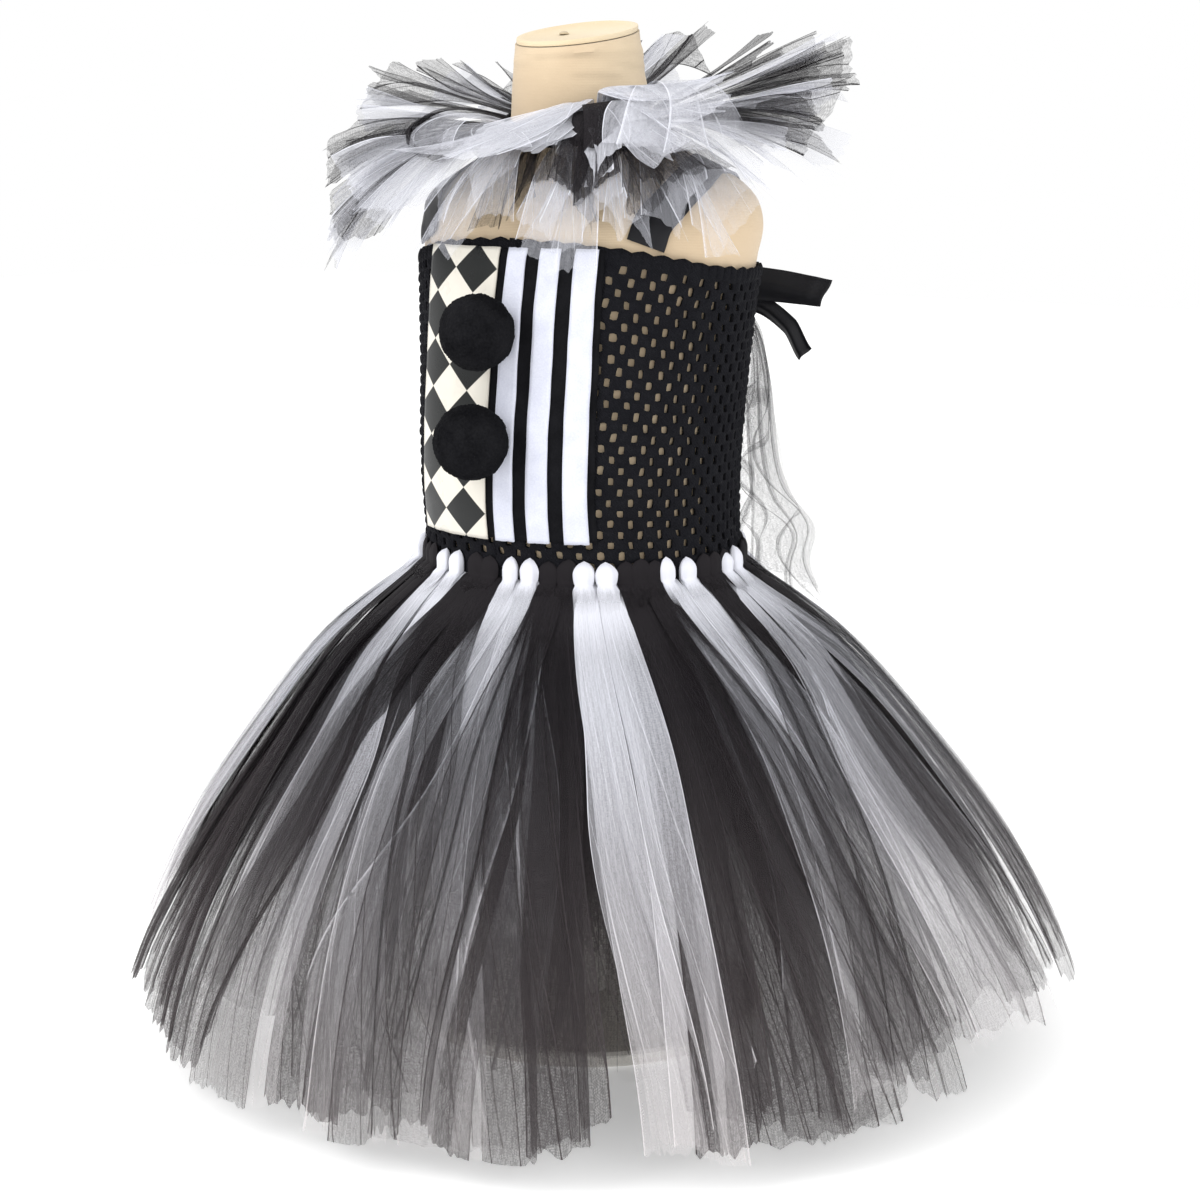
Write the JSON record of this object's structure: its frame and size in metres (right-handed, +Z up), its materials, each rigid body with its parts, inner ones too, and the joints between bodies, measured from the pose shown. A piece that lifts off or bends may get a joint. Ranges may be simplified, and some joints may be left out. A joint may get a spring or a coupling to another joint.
{
  "type": "clown costume on a dress form",
  "caption": "Child's tutu clown dress with crocheted bodice, harlequin and stripe panel, pompoms and tulle ruff, worn by a limbless dress form on a round base.",
  "frame": {"origin": "middle of the base plate's underside, on the floor", "axes": "+Z up; the front of the dress faces -Y; the wearer's left is +X"},
  "size_m": [0.6608, 0.6443, 0.6629],
  "materials": {
    "form_cover": "cream jersey cover",
    "stand_paint": "cream, satin",
    "black_crochet": "matte elastic crochet",
    "black_felt": "matte felt",
    "leatherette": "glossy leatherette with black diamonds",
    "white_felt": "matte felt",
    "black_fleece": "short matte pile",
    "black_satin": "satin ribbon",
    "black_tulle": "sheer net",
    "white_tulle": "sheer net",
    "mixed_tulle": "sheer black and white net strips"
  },
  "bodies": {
    "root": {"back_veil": "black_tulle", "bodice_tube": "black_crochet", "form_neck_cap": "form_cover", "form_torso": "form_cover", "neck_band": "black_crochet", "panel_backing": "black_felt", "panel_diamonds": "leatherette", "pom_lower": "black_fleece", "pom_upper": "black_fleece", "ruff_lower_1": "mixed_tulle", "ruff_lower_2": "mixed_tulle", "ruff_lower_3": "mixed_tulle", "ruff_lower_4": "mixed_tulle", "ruff_lower_5": "mixed_tulle", "ruff_lower_6": "mixed_tulle", "ruff_lower_7": "mixed_tulle", "ruff_lower_8": "mixed_tulle", "ruff_upper_1": "mixed_tulle", "ruff_upper_2": "mixed_tulle", "ruff_upper_3": "mixed_tulle", "ruff_upper_4": "mixed_tulle", "ruff_upper_5": "mixed_tulle", "ruff_upper_6": "mixed_tulle", "ruff_upper_7": "mixed_tulle", "ruff_upper_8": "mixed_tulle", "skirt_black_01": "black_tulle", "skirt_black_02": "black_tulle", "skirt_black_03": "black_tulle", "skirt_black_04": "black_tulle", "skirt_black_05": "black_tulle", "skirt_black_06": "black_tulle", "skirt_black_07": "black_tulle", "skirt_black_08": "black_tulle", "skirt_black_09": "black_tulle", "skirt_black_10": "black_tulle", "skirt_black_11": "black_tulle", "skirt_white_01": "white_tulle", "skirt_white_02": "white_tulle", "skirt_white_03": "white_tulle", "skirt_white_04": "white_tulle", "skirt_white_05": "white_tulle", "skirt_white_06": "white_tulle", "skirt_white_07": "white_tulle", "skirt_white_08": "white_tulle", "skirt_white_09": "white_tulle", "skirt_white_10": "white_tulle", "skirt_white_11": "white_tulle", "stand_base": "stand_paint", "stand_pole": "stand_paint", "strap_left": "black_satin", "strap_right": "black_satin", "stripe_inner": "white_felt", "stripe_middle": "white_felt", "stripe_outer": "white_felt", "tie_knot": "black_satin", "tie_tail_lower": "black_satin", "tie_tail_upper": "black_satin"}
  },
  "joints": []
}
